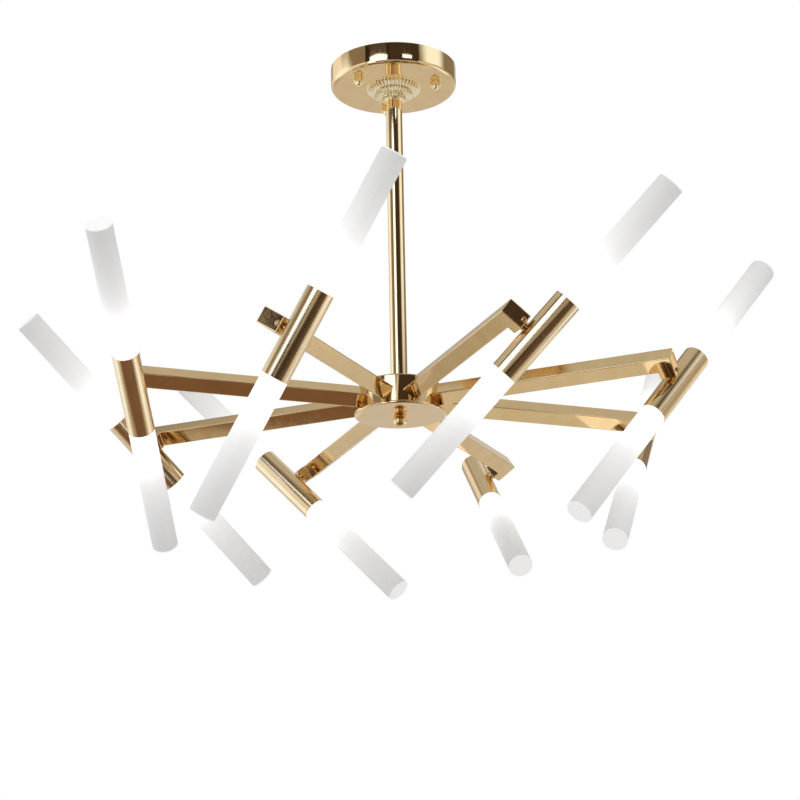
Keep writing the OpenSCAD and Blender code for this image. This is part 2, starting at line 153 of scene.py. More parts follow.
def add_modifier(piece, kind, **values):
    """Adds a modifier with these values and applies it at once."""
    only(piece)
    bpy.ops.object.modifier_add(type=kind)
    modifier = piece.modifiers[-1]
    for key, value in values.items():
        setattr(modifier, key, value)
    bpy.ops.object.modifier_apply(modifier=modifier.name)


# Degrees from which an edge stays sharp, and how much the flats count in the normals
SHARP_FROM, SCREW_SHARP_FROM, RIBBED_SHARP_FROM, FACE_WEIGHT = 32.0, 35, 40, 80


def polish(piece, angle=SHARP_FROM):
    """Smooth shading over edges flatter than the angle, true normals on the flats."""
    only(piece)
    bpy.ops.object.shade_smooth_by_angle(angle=math.radians(angle))
    add_modifier(piece, "WEIGHTED_NORMAL", keep_sharp=True, weight=FACE_WEIGHT)


def turned(name, steps, rings, capped=True):
    """A piece turned about Z: a circle, extruded and resized from ring to ring.
    rings is a list of (radius, height) in millimetres, from the foot up."""
    radius, height = rings[0]
    bpy.ops.object.select_all(action="DESELECT")
    bpy.ops.mesh.primitive_circle_add(
        vertices=steps, radius=radius * MM, location=(0, 0, 0),
        fill_type="NGON" if capped else "NOTHING")
    piece = fresh(name)
    open_up(piece, "FACE" if capped else "EDGE")
    bpy.ops.mesh.select_all(action="SELECT")
    bpy.ops.transform.translate(value=(0, 0, height * MM))
    for wide, high in rings[1:]:
        if capped:
            bpy.ops.mesh.extrude_region_move(
                TRANSFORM_OT_translate={"value": (0, 0, (high - height) * MM)})
        else:
            bpy.ops.mesh.extrude_edges_move(
                TRANSFORM_OT_translate={"value": (0, 0, (high - height) * MM)})
        k = wide / radius
        bpy.ops.transform.resize(value=(k, k, 1), center_override=(0, 0, 0))
        radius, height = wide, high
    bpy.ops.mesh.select_all(action="SELECT")
    bpy.ops.mesh.normals_make_consistent(inside=False)
    close_up()
    return piece


def quarter(radius, edge, height, up, steps):
    """Rings of a rounded edge from its foot to its top: the upper edge of a piece that ends
    at this height if up, or else the lower edge of a piece that starts there."""
    rings = []
    for i in range(steps + 1):
        a = math.pi / 2 * i / steps
        if up:
            rings.append((radius - edge + edge * math.cos(a), height - edge + edge * math.sin(a)))
        else:
            rings.append((radius - edge + edge * math.sin(a), height + edge - edge * math.cos(a)))
    return rings


# Steps of a hollow between two ribs: how far from its middle, as a share of the way from
# rib to rib, and the share of the full depth
HOLLOW = ((0.06, 1.0), (0.15, 0.93), (0.23, 0.75), (0.31, 0.5), (0.40, 0.25), (0.48, 0.07))


def hollows(piece, flutes, within, move):
    """Chooses the corners of each step of the hollows in turn and moves them by its share."""
    open_up(piece, "VERT")
    inner = -1.0
    for reach, sink in HOLLOW:

        def hollow(place, _):
            phase = (math.atan2(place.y, place.x) * flutes / (2 * math.pi)) % 1.0
            return within(place) and inner <= abs(phase - 0.5) < reach

        choose(piece, "VERT", hollow)
        move(sink)
        inner = reach
    close_up()


# How near a height and how near a ring a corner has to be, in millimetres, and from which share
# of the radius outwards it belongs to the rim
TOUCH, RING_TOUCH, RIM_FROM = 0.01, 0.3, 0.8


def flute(piece, radius, flutes, depth, low, high):
    """Presses hollows between the ribs of a rim."""

    def sink_in(share):
        k = (radius - depth * share) / radius
        bpy.ops.transform.resize(value=(k, k, 1), center_override=(0, 0, 0))

    hollows(piece, flutes, lambda place: low - TOUCH <= place.z <= high + TOUCH
            and place.xy.length > radius * RIM_FROM, sink_in)


def groove(piece, radius, flutes, depth, low):
    """Sinks the same hollows into a slope that looks down, along one ring of it."""
    hollows(piece, flutes,
            lambda place: abs(place.z - low) < TOUCH
            and abs(place.xy.length - radius) < RING_TOUCH,
            lambda share: bpy.ops.transform.translate(value=(0, 0, depth * share * MM)))


def remember_place(piece):
    """Keeps each corner's place in the piece's own frame, for patterns that follow it."""
    mark = piece.data.attributes.new("own_place", "FLOAT_VECTOR", "POINT")
    for i, corner in enumerate(piece.data.vertices):
        mark.data[i].vector = corner.co


def copy_to(master, name, place):
    """A copy of the master with its own mesh, moved to its place."""
    twin = bpy.data.objects.new(name, master.data.copy())
    twin.data.name = name
    bpy.context.scene.collection.objects.link(twin)
    twin.data.transform(place)
    return twin


def join(name, pieces):
    only(pieces[0])
    for piece in pieces[1:]:
        piece.select_set(True)
    bpy.ops.object.join()
    whole = bpy.context.object
    whole.name = whole.data.name = name
    return whole


def dress(piece, material, body, slot, *stands_for):
    """Gives a finished piece its material and body, and hides the CAD nodes it stands for. The
    slot is not used.
    """
    piece.data.materials.clear()
    piece.data.materials.append(material)
    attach(piece, body)
    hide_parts(*stands_for)


# ---- Node groups ----


def group(name, inputs, outputs):
    """A new node group with its sockets: the tree, its input node and its output node."""
    tree = bpy.data.node_groups.new(name, "ShaderNodeTree")
    for label, kind, value in inputs:
        socket = tree.interface.new_socket(label, in_out="INPUT", socket_type=kind)
        if value is not None:
            socket.default_value = value
    for label, kind in outputs:
        tree.interface.new_socket(label, in_out="OUTPUT", socket_type=kind)
    return tree, tree.nodes.new("NodeGroupInput"), tree.nodes.new("NodeGroupOutput")


def node(tree, kind, values=None, **settings):
    """A new node; values go into its input sockets, settings into its own fields."""
    made = tree.nodes.new(kind)
    for key, value in settings.items():
        setattr(made, key, value)
    for key, value in (values or {}).items():
        made.inputs[key].default_value = value
    return made


def make_plating_group():
    """Cloudy plating: faint colour drift, wiped smears in the gloss and a slight ripple."""
    tree, given, out = group(
        "plating",
        [("Place", "NodeSocketVector", None), ("Pale", "NodeSocketColor", (0.8, 0.6, 0.35, 1)),
         ("Deep", "NodeSocketColor", (0.7, 0.5, 0.25, 1)), ("Gloss", "NodeSocketFloat", 0.06),
         ("Smear", "NodeSocketFloat", 0.05), ("Ripple", "NodeSocketFloat", 0.1)],
        [("Colour", "NodeSocketColor"), ("Roughness", "NodeSocketFloat"),
         ("Normal", "NodeSocketVector")])
    link = tree.links.new
    cloud = node(tree, "ShaderNodeTexNoise", {"Scale": 38.0, "Detail": 3.0, "Roughness": 0.55})
    link(given.outputs["Place"], cloud.inputs["Vector"])
    spread = node(tree, "ShaderNodeMapRange", {"From Min": 0.35, "From Max": 0.65})
    link(cloud.outputs["Fac"], spread.inputs["Value"])
    tint = node(tree, "ShaderNodeMix", data_type="RGBA")
    link(spread.outputs["Result"], tint.inputs["Factor"])
    link(given.outputs["Pale"], tint.inputs[6])
    link(given.outputs["Deep"], tint.inputs[7])
    link(tint.outputs[2], out.inputs["Colour"])
    wipe = node(tree, "ShaderNodeTexNoise", {"Scale": 120.0, "Detail": 4.0, "Distortion": 1.4})
    link(given.outputs["Place"], wipe.inputs["Vector"])
    sharpen = node(tree, "ShaderNodeMapRange", {"From Min": 0.45, "From Max": 0.75})
    link(wipe.outputs["Fac"], sharpen.inputs["Value"])
    rough = node(tree, "ShaderNodeMath", operation="MULTIPLY_ADD")
    link(sharpen.outputs["Result"], rough.inputs[0])
    link(given.outputs["Smear"], rough.inputs[1])
    link(given.outputs["Gloss"], rough.inputs[2])
    link(rough.outputs[0], out.inputs["Roughness"])
    wave = node(tree, "ShaderNodeTexNoise", {"Scale": 90.0, "Detail": 1.0})
    link(given.outputs["Place"], wave.inputs["Vector"])
    bump = node(tree, "ShaderNodeBump", {"Distance": 0.00012})
    link(given.outputs["Ripple"], bump.inputs["Strength"])
    link(wave.outputs["Fac"], bump.inputs["Height"])
    link(bump.outputs["Normal"], out.inputs["Normal"])
    return tree


# How far the brush's noise is drawn out along each axis, and how much rougher its lines are
BRUSH_STRETCH, LINE_ROUGHNESS = (1.0, 1.0, 0.006), 0.10


def make_brush_group():
    """Fine lines along Z of the given place: scratches of a lengthwise brush."""
    tree, given, out = group(
        "brush_lines",
        [("Place", "NodeSocketVector", None), ("Normal", "NodeSocketVector", None),
         ("Depth", "NodeSocketFloat", 0.3)],
        [("Lines", "NodeSocketFloat"), ("Normal", "NodeSocketVector")])
    link = tree.links.new
    draw = node(tree, "ShaderNodeVectorMath", operation="MULTIPLY")
    draw.inputs[1].default_value = BRUSH_STRETCH
    link(given.outputs["Place"], draw.inputs[0])
    fine = node(tree, "ShaderNodeTexNoise", {"Scale": 620.0, "Detail": 2.0, "Roughness": 0.5})
    link(draw.outputs[0], fine.inputs["Vector"])
    link(fine.outputs["Fac"], out.inputs["Lines"])
    bump = node(tree, "ShaderNodeBump", {"Distance": 0.00004})
    link(given.outputs["Depth"], bump.inputs["Strength"])
    link(fine.outputs["Fac"], bump.inputs["Height"])
    link(given.outputs["Normal"], bump.inputs["Normal"])
    link(bump.outputs["Normal"], out.inputs["Normal"])
    return tree


PLATING = make_plating_group()
BRUSH = make_brush_group()


# ---- Materials ----


def new_material(name):
    """A new material with its node tree and its main shader."""
    material = bpy.data.materials.new(name)
    material.use_nodes = True
    tree = material.node_tree
    shader = tree.nodes["Principled BSDF"]
    return material, tree, shader


def own_place(tree):
    return node(tree, "ShaderNodeAttribute", attribute_name="own_place").outputs["Vector"]


def object_place(tree):
    return node(tree, "ShaderNodeTexCoord").outputs["Object"]


def gold(name, pale, deep, gloss, smear, ripple, place=object_place):
    """Plated gold between a pale and a deep tone: the material, its tree, shader and plating."""
    material, tree, shader = new_material(name)
    shader.inputs["Metallic"].default_value = 1.0
    plating = node(tree, "ShaderNodeGroup", node_tree=PLATING)
    for key, value in (("Pale", pale), ("Deep", deep), ("Gloss", gloss),
                       ("Smear", smear), ("Ripple", ripple)):
        plating.inputs[key].default_value = value
    tree.links.new(place(tree), plating.inputs["Place"])
    tree.links.new(plating.outputs["Colour"], shader.inputs["Base Color"])
    tree.links.new(plating.outputs["Roughness"], shader.inputs["Roughness"])
    tree.links.new(plating.outputs["Normal"], shader.inputs["Normal"])
    return material, tree, shader, plating


def brushed_gold(name, pale, deep, gloss, smear, ripple, depth):
    """Gold brushed along the holder, a little duller in the bottom of the lines."""
    material, tree, shader, plating = gold(name, pale, deep, gloss, smear, ripple, own_place)
    brush = node(tree, "ShaderNodeGroup", {"Depth": depth}, node_tree=BRUSH)
    tree.links.new(own_place(tree), brush.inputs["Place"])
    tree.links.new(plating.outputs["Normal"], brush.inputs["Normal"])
    tree.links.new(brush.outputs["Normal"], shader.inputs["Normal"])
    shade = node(tree, "ShaderNodeMix", data_type="RGBA", blend_type="MULTIPLY")
    grey = node(tree, "ShaderNodeMapRange",
                {"From Min": 0.3, "From Max": 0.6, "To Min": 0.86, "To Max": 1.0})
    tree.links.new(brush.outputs["Lines"], grey.inputs["Value"])
    shade.inputs["Factor"].default_value = 1.0
    tree.links.new(plating.outputs["Colour"], shade.inputs[6])
    tree.links.new(grey.outputs["Result"], shade.inputs[7])
    tree.links.new(shade.outputs[2], shader.inputs["Base Color"])
    rough = node(tree, "ShaderNodeMath", operation="MULTIPLY_ADD")
    rough.inputs[1].default_value = LINE_ROUGHNESS
    tree.links.new(brush.outputs["Lines"], rough.inputs[0])
    tree.links.new(plating.outputs["Roughness"], rough.inputs[2])
    tree.links.new(rough.outputs[0], shader.inputs["Roughness"])
    return material


# Glow along a frosted rod: the share of the way from GLOW_FROM to GLOW_TO on the rod's own
# axis, in metres from the lamp's middle, and the strength. The flat tip glows a little more.
GLOW_FROM, GLOW_TO, GLOW_START = 0.09, 0.21, 0.55
GLOW = ((0.10, 0.46), (0.20, 0.30), (0.32, 0.20), (0.46, 0.138), (0.58, 0.093),
        (0.71, 0.055), (0.92, 0.01), (0.985, 0.0), (0.992, 0.22))


def frosted():
    """Frosted acrylic, lit from the holder's end and greyer towards the tip."""
    material, tree, shader = new_material("frosted_acrylic")
    shader.inputs["Roughness"].default_value = 0.6
    shader.inputs["Specular IOR Level"].default_value = 0.12
    shader.inputs["Emission Strength"].default_value = 1.0
    place = own_place(tree)
    apart = node(tree, "ShaderNodeSeparateXYZ")
    tree.links.new(place, apart.inputs[0])
    along = node(tree, "ShaderNodeMapRange", {"From Min": GLOW_FROM, "From Max": GLOW_TO})
    tree.links.new(apart.outputs["Z"], along.inputs["Value"])
    light = tree.nodes.new("ShaderNodeValToRGB")
    ramp = light.color_ramp
    for at, glow in GLOW:
        ramp.elements.new(at).color = (glow, glow, glow, 1)
    ramp.elements.remove(ramp.elements[-1])
    ramp.elements[0].color = (GLOW_START, GLOW_START, GLOW_START, 1)
    tree.links.new(along.outputs["Result"], light.inputs["Fac"])
    tree.links.new(light.outputs["Color"], shader.inputs["Emission Color"])
    frost = node(tree, "ShaderNodeTexNoise", {"Scale": 900.0, "Detail": 4.0})
    tree.links.new(place, frost.inputs["Vector"])
    body = node(tree, "ShaderNodeMix", data_type="RGBA")
    body.inputs[6].default_value = (0.79, 0.785, 0.78, 1)
    body.inputs[7].default_value = (0.87, 0.865, 0.86, 1)
    tree.links.new(frost.outputs["Fac"], body.inputs["Factor"])
    tree.links.new(body.outputs[2], shader.inputs["Base Color"])
    bump = node(tree, "ShaderNodeBump", {"Strength": 0.25, "Distance": 0.00005})
    tree.links.new(frost.outputs["Fac"], bump.inputs["Height"])
    tree.links.new(bump.outputs["Normal"], shader.inputs["Normal"])
    return material


POLISHED, *_ = gold("polished_gold", (0.84, 0.62, 0.33, 1), (0.80, 0.575, 0.295, 1),
                    gloss=0.045, smear=0.05, ripple=0.05)
ARM_GOLD, *_ = gold("arm_gold", (0.84, 0.615, 0.32, 1), (0.79, 0.565, 0.285, 1),
                    gloss=0.07, smear=0.07, ripple=0.12, place=own_place)
PIN_GOLD, *_ = gold("pin_gold", (0.88, 0.62, 0.27, 1), (0.78, 0.52, 0.21, 1),
                    gloss=0.12, smear=0.08, ripple=0.1, place=own_place)
NUT_GOLD, *_ = gold("nut_gold", (0.97, 0.80, 0.46, 1), (0.90, 0.70, 0.34, 1),
                    gloss=0.10, smear=0.06, ripple=0.1)
# The collar has the canopy's plating. Its paler gold is painted highlight, standing in for the
# light its flutes catch.
COLLAR_PAINTED_HIGHLIGHT_GOLD, *_ = gold("collar_painted_highlight_gold", (0.96, 0.86, 0.62, 1), (0.91, 0.80, 0.54, 1),
                       gloss=0.08, smear=0.06, ripple=0.06)
HOLDER_GOLD = brushed_gold("satin_gold", (0.84, 0.635, 0.37, 1), (0.80, 0.595, 0.33, 1),
                           gloss=0.10, smear=0.05, ripple=0.04, depth=0.9)
ZINC, *_ = gold("zinc_steel", (0.62, 0.63, 0.64, 1), (0.52, 0.53, 0.545, 1),
                gloss=0.28, smear=0.15, ripple=0.3)
FROSTED = frosted()


COAT_SPREAD = 0.08  # how far a coat's roughness strays either way


def plain_coat(name, light, dark, roughness, scale):
    """A fired or moulded coat with a fine speckle."""
    material, tree, shader = new_material(name)
    speck = node(tree, "ShaderNodeTexNoise", {"Scale": scale, "Detail": 5.0})
    tree.links.new(object_place(tree), speck.inputs["Vector"])
    coat = node(tree, "ShaderNodeMix", data_type="RGBA")
    coat.inputs[6].default_value = light
    coat.inputs[7].default_value = dark
    tree.links.new(speck.outputs["Fac"], coat.inputs["Factor"])
    tree.links.new(coat.outputs[2], shader.inputs["Base Color"])
    rough = node(tree, "ShaderNodeMapRange",
                 {"To Min": roughness - COAT_SPREAD, "To Max": roughness + COAT_SPREAD})
    tree.links.new(speck.outputs["Fac"], rough.inputs["Value"])
    tree.links.new(rough.outputs["Result"], shader.inputs["Roughness"])
    bump = node(tree, "ShaderNodeBump", {"Strength": 0.2, "Distance": 0.00005})
    tree.links.new(speck.outputs["Fac"], bump.inputs["Height"])
    tree.links.new(bump.outputs["Normal"], shader.inputs["Normal"])
    return material


CERAMIC = plain_coat("lamp_ceramic", (0.86, 0.85, 0.82, 1), (0.78, 0.77, 0.73, 1),
                     roughness=0.35, scale=700.0)
SLEEVE = plain_coat("lead_sleeve", (0.05, 0.05, 0.052, 1), (0.03, 0.03, 0.032, 1),
                    roughness=0.5, scale=1200.0)


# ---- Canopy, nuts, collar and stem ----

bpy.ops.object.select_all(action="DESELECT")

# Spun dish: flat underside, rounded lower edge, a side wall that is fullest near its top
foot = -CANOPY_DROP


def side_wall(up):
    """The canopy's radius at this height above its foot."""
    return CANOPY_R - CANOPY_FULLNESS * (up - CANOPY_FULLEST) ** 2


lower_edge = quarter(side_wall(CANOPY_EDGE), CANOPY_EDGE, foot, False, 8)
wall = [(side_wall(up), foot + up) for up in CANOPY_RISES]
canopy = turned("canopy_shell", CANOPY_SIDES, [(CANOPY_HOLE_R, foot)] + lower_edge + wall,
                capped=False)
add_modifier(canopy, "SOLIDIFY", thickness=CANOPY_WALL * MM, offset=-1.0)
open_up(canopy)
bpy.ops.mesh.select_all(action="SELECT")
bpy.ops.mesh.normals_make_consistent(inside=False)
close_up()
polish(canopy)
dress(canopy, POLISHED, "frame", "polished_gold", "canopy")

# Knurled nuts with a domed foot, on three studs
dome = [(NUT_DOME * math.cos(math.radians(a)), -NUT_GRIP - NUT_DOME * math.sin(math.radians(a)))
        for a in (75, 60, 45, 30, 15, 0)]
grip = [(NUT_R - NUT_EDGE, -NUT_GRIP + DOME_GAP), (NUT_R, -NUT_GRIP + NUT_EDGE_RISE),
        (NUT_R, -NUT_EDGE_RISE), (NUT_R - NUT_EDGE, 0.0)]
nut = turned("nut_master", NUT_SIDES, dome + grip)
flute(nut, NUT_R, KNURLS, KNURL_DEPTH, -NUT_GRIP + KNURL_MARGIN, -KNURL_MARGIN)
polish(nut, RIBBED_SHARP_FROM)
nuts = []
for i in range(STUD_COUNT):
    a = math.radians(STUD_TURN + 360 / STUD_COUNT * i)
    place = Matrix.Translation(Vector((STUD_REACH * math.cos(a), STUD_REACH * math.sin(a),
                                       foot)) * MM)
    nuts.append(copy_to(nut, f"canopy_nut_{i + 1}", place))
bpy.data.objects.remove(nut)
dress(join("canopy_knurled_nuts", nuts), NUT_GOLD, "frame", "polished_gold", "canopy_nuts")

# Collar: three tiers over a plain ring; each has a fluted rim, and its ridges run down the slope
tiers = []
top = foot
for number, (radius, height, flutes) in enumerate(TIERS, 1):
    low, edge = top - height, top - TIER_RIM
    inner = TIERS[number][0] - FLUTE_DEPTH if number < len(TIERS) else COLLAR_RING_R
    slope_r, slope_z = (inner + radius) / 2, (low + edge) / 2
    tier = turned(f"collar_tier_{number}", flutes * SIDES_A_FLUTE, [
        (inner, low), (slope_r, slope_z), (radius - TIER_FOOT_EDGE, edge),
        (radius, edge + TIER_FOOT_EDGE), (radius, top - TIER_TOP_EDGE),
        (radius - TIER_TOP_EDGE, top)])
    groove(tier, slope_r, flutes, SLOPE_DEPTH, slope_z)
    groove(tier, radius - TIER_FOOT_EDGE, flutes, RIM_FOOT_DEPTH, edge)
    flute(tier, radius, flutes, FLUTE_DEPTH, edge - TIER_MARGIN, top + TIER_MARGIN)
    polish(tier, RIBBED_SHARP_FROM)
    tiers.append(tier)
    top = low
ring = turned("collar_ring", RING_SIDES,
              quarter(COLLAR_RING_R, RING_FOOT_EDGE, top - COLLAR_RING_H, False, 4)
              + quarter(COLLAR_RING_R, RING_TOP_EDGE, top, True, 3))
polish(ring)
dress(join("stem_collar_tiers", tiers + [ring]), COLLAR_PAINTED_HIGHLIGHT_GOLD, "frame", "polished_gold",
      "stem_collar")

stem = turned("stem", STEM_SIDES, [
    (STEM_R - STEM_EDGE, HUB_TOP), (STEM_R, HUB_TOP + STEM_EDGE),
    (STEM_R, foot - STEM_EDGE), (STEM_R - STEM_EDGE, foot)])
polish(stem)
dress(stem, POLISHED, "frame", "polished_gold", "stem_tube")

# ---- Hub ----

hub = turned("hub_drum", HUB_SIDES, quarter(HUB_R, HUB_LIP, DISC_TOP, False, 5)
             + quarter(HUB_R, HUB_EDGE, HUB_TOP, True, 6))
polish(hub)
dress(hub, POLISHED, "frame", "polished_gold", "hub_shell")

disc = turned("hub_mirror_disc", DISC_SIDES, quarter(DISC_R, DISC_EDGE, DISC_FOOT, False, 7)
              + quarter(DISC_R, DISC_EDGE, DISC_TOP, True, 7))
polish(disc)
dress(disc, POLISHED, "frame", "polished_gold", "hub_disc")

# Ball nut: a sphere cut flat where it sits on the disc
ball_drop = math.sqrt(BALL_R ** 2 - BALL_SEAT_R ** 2)
bpy.ops.object.select_all(action="DESELECT")
bpy.ops.mesh.primitive_uv_sphere_add(
    segments=BALL_SIDES, ring_count=BALL_RINGS, radius=BALL_R * MM, location=(0, 0, 0))
ball = fresh("finial_ball")
open_up(ball)
bpy.ops.mesh.select_all(action="SELECT")
bpy.ops.transform.translate(value=(0, 0, (DISC_FOOT - ball_drop) * MM))
bpy.ops.mesh.bisect(plane_co=(0, 0, DISC_FOOT * MM), plane_no=(0, 0, 1),
                    clear_outer=True, use_fill=True)
close_up()
polish(ball)
dress(ball, POLISHED, "frame", "polished_gold", "finial_nut")


# ---- Arms ----


def joint_frames():
    """For each arm: its own frame (X outward, Y along the leg, Z square to both) and its lamp's,
    which is turned about the leg by the lamp's tilt, the middle of the joint's range."""
    found = []
    for number in range(1, ARM_COUNT + 1):
        joint = next(j for j in frame["joints"] if j["child"] == f"lamp_{number}")
        middle = Vector(joint["pos_m"])
        leg = Vector(joint["axis"]).normalized()
        out = leg.cross(Vector((0, 0, 1))).normalized()
        square = out.cross(leg)
        start = middle - out * ARM_REACH * MM - leg * LAMP_OUT * MM
        arm = Matrix.Translation(start) @ Matrix((out, leg, square)).transposed().to_4x4()
        tilt = -math.radians(sum(joint["range_deg"]) / 2)
        lamp = arm @ Matrix.Translation(Vector((ARM_REACH, LAMP_OUT, 0)) * MM) \
            @ Matrix.Rotation(tilt, 4, "Y")
        found.append((arm, lamp))
    return found


def make_arm():
    """Square bar from the hub's wall, with its leg drawn out of one side."""
    half = ARM_W / 2
    start = HUB_R - ARM_ROOT
    length = ARM_REACH + half - start
    bpy.ops.object.select_all(action="DESELECT")
    bpy.ops.mesh.primitive_cube_add(size=1.0, location=(0, 0, 0))
    arm = fresh("arm_master")
    open_up(arm)
    bpy.ops.mesh.select_all(action="SELECT")
    bpy.ops.transform.resize(value=(length * MM, ARM_W * MM, ARM_W * MM))
    bpy.ops.transform.translate(value=((start + length / 2) * MM, 0, 0))
    bpy.ops.mesh.bisect(plane_co=((ARM_REACH - half) * MM, 0, 0), plane_no=(1, 0, 0))
    choose(arm, "FACE", lambda c, n: n.y > 0.9 and c.x > ARM_REACH - half)
    bpy.ops.mesh.extrude_region_move(
        TRANSFORM_OT_translate={"value": (0, (LEG_END - half) * MM, 0)})
    bpy.ops.mesh.select_all(action="SELECT")
    bpy.ops.mesh.dissolve_limited(angle_limit=math.radians(2))
    choose(arm, "EDGE", lambda c, d: c.x > start + 1)
    bpy.ops.mesh.bevel(offset=ARM_EDGE * MM, segments=5, affect="EDGES")
    close_up()
    remember_place(arm)
    polish(arm)
    return arm


def make_screw():
    """Low round head with a cross slot, set on the leg's outer face."""
    r, h = SCREW_HEAD_R, SCREW_HEAD_H
    head = turned("screw_master", SCREW_SIDES,
                  [(r * wide, h * high) for wide, high in SCREW_PROFILE])
    bars = []
    for turn in (0, math.pi / 2):
        bpy.ops.object.select_all(action="DESELECT")
        bpy.ops.mesh.primitive_cube_add(size=1.0, location=(0, 0, h * MM),
                                        rotation=(0, 0, turn),
                                        scale=(r * SLOT_LONG * MM, SLOT_WIDE * MM,
                                               SLOT_DEEP * MM))
        bars.append(fresh("screw_slot"))
        bpy.ops.object.transform_apply(location=True, rotation=True, scale=True)
    cross = join("screw_slots", bars)
    add_modifier(head, "BOOLEAN", operation="DIFFERENCE", object=cross, solver="EXACT",
                 use_self=True)
    bpy.data.objects.remove(cross)
    add_modifier(head, "BEVEL", width=SCREW_EDGE * MM, segments=2, limit_method="ANGLE",
                 angle_limit=math.radians(40))
    polish(head, SCREW_SHARP_FROM)
    remember_place(head)
    return head


FRAMES = joint_frames()
arm_master = make_arm()
screw_master = make_screw()
screws = []
for number, (arm_place, _) in enumerate(FRAMES, 1):
    arm = copy_to(arm_master, f"square_arm_{number}", arm_place)
    dress(arm, ARM_GOLD, "frame", "polished_gold", f"arm_{number}")
    # Each screw's slots stand at an angle of their own
    outward = Matrix.Translation(Vector((ARM_REACH + ARM_W / 2, LEG_END - SCREW_IN, 0)) * MM) \
        @ Matrix.Rotation(math.pi / 2, 4, "Y") @ Matrix.Rotation(FIRST_TURN + number, 4, "Z")
    screws.append(copy_to(screw_master, f"leg_screw_{number}", arm_place @ outward))
bpy.data.objects.remove(arm_master)
bpy.data.objects.remove(screw_master)
dress(join("leg_screws", screws), PIN_GOLD, "frame", "polished_gold", "set_screws")


# ---- Lamp heads ----


# Rounding at a holder's mouths: how far inside its outer radius, and how far from its end
HOLDER_ROUNDING = ((0.35, 0.0), (0.1, 0.12), (0.0, 0.4))
MOUTH_BEVEL, MOUTH_RISE = 0.25, 0.3


def make_holder():
    """Brushed tube open at both ends, with a web across its middle."""
    half = HOLDER_LEN / 2
    inner = HOLDER_R - HOLDER_WALL
    lower = [(inner, -HOLDER_WEB), (inner, -half + MOUTH_RISE), (inner + MOUTH_BEVEL, -half)] \
        + [(HOLDER_R - inside, -half + along) for inside, along in HOLDER_ROUNDING]
    holder = turned("holder_master", HOLDER_SIDES,
                    lower + [(radius, -height) for radius, height in reversed(lower)])
    remember_place(holder)
    polish(holder)
    return holder


def make_rod():
    """Frosted rod on a spigot that sits in the holder, with a flat tip and a soft edge."""
    half = HOLDER_LEN / 2
    spigot = HOLDER_R - HOLDER_WALL - SPIGOT_PLAY
    rings = [(spigot - SPIGOT_EDGE, half - SPIGOT_LEN),
             (spigot, half - SPIGOT_LEN + SPIGOT_EDGE), (spigot, half),
             (ROD_R - ROD_EDGE, half), (ROD_R, half + ROD_EDGE)]
    rings += [(ROD_R, half + ROD_LEN * quarters / 4) for quarters in (1, 2, 3)]
    rod = turned("rod_master", ROD_SIDES,
                 rings + quarter(ROD_R, ROD_TIP_EDGE, half + ROD_LEN, True, 5))
    remember_place(rod)
    polish(rod)
    return rod


def make_pin():
    """Swivel pin between leg and holder, with its spacer ring. It is turned about Z, with the
    leg's face at a height below zero and the holder's middle at zero, and then laid over."""
    leg_face = LEG_END - LAMP_OUT
    ring_foot, ring_top = leg_face + END_PLAY, leg_face + SWIVEL_GAP
    pin = turned("pin_master", PIN_SIDES, [
        (PIN_HEAD_R, leg_face - PIN_HEAD_IN), (PIN_HEAD_R, leg_face - PIN_NECK_IN),
        (PIN_R, leg_face - PIN_NECK_IN), (PIN_R, ring_foot),
        (SPACER_R - SPACER_EDGE, ring_foot), (SPACER_R, ring_foot + SPACER_EDGE),
        (SPACER_R, ring_top + SPACER_IN), (PIN_R, ring_top + SPACER_TOP),
        (PIN_R, -PIN_END_IN)])
    pin.data.transform(Matrix.Rotation(-math.pi / 2, 4, "X"))
    pin.data.update()
    remember_place(pin)
    polish(pin)
    return pin


holder_master, rod_master, pin_master = make_holder(), make_rod(), make_pin()
FLIP = Matrix.Rotation(math.pi, 4, "Y")
for number, (_, lamp_place) in enumerate(FRAMES, 1):
    body = f"lamp_{number}"
    dress(copy_to(holder_master, f"brushed_holder_{number}", lamp_place),
          HOLDER_GOLD, body, "satin_gold", f"lamp_holder_{number}")
    dress(copy_to(rod_master, f"frosted_rod_upper_{number}", lamp_place),
          FROSTED, body, "frosted_acrylic", f"upper_rod_{number}")
    dress(copy_to(rod_master, f"frosted_rod_lower_{number}", lamp_place @ FLIP),
          FROSTED, body, "frosted_acrylic", f"lower_rod_{number}")
    dress(copy_to(pin_master, f"pivot_{number}", lamp_place),
          PIN_GOLD, body, "pin_gold", f"swivel_pin_{number}")
for master in (holder_master, rod_master, pin_master):
    bpy.data.objects.remove(master)

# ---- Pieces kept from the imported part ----

KEPT = {"ceiling_bracket": ZINC, "hub_rod": ZINC, "lock_nuts": ZINC, "wiring": SLEEVE}
KEPT.update({f"light_units_{number}": CERAMIC for number in range(1, ARM_COUNT + 1)})
for name, material in KEPT.items():
    nodes[name].data.materials.clear()
    nodes[name].data.materials.append(material)

# ---- Studio ----

HUB = Vector((0, 0, -0.415))  # middle of the hub, in metres


def toward(azimuth, elevation, distance):
    """A point seen from the hub: azimuth 0 is the viewer's side, 90 is to the right."""
    a, e = math.radians(azimuth), math.radians(elevation)
    return HUB + distance * Vector((math.sin(a) * math.cos(e), -math.cos(a) * math.cos(e),
                                    math.sin(e)))


def facing_hub(thing, place):
    """Puts a card or a lamp at its place and turns it to the hub."""
    thing.location = place
    thing.rotation_euler = (HUB - place).to_track_quat("-Z", "Y").to_euler()


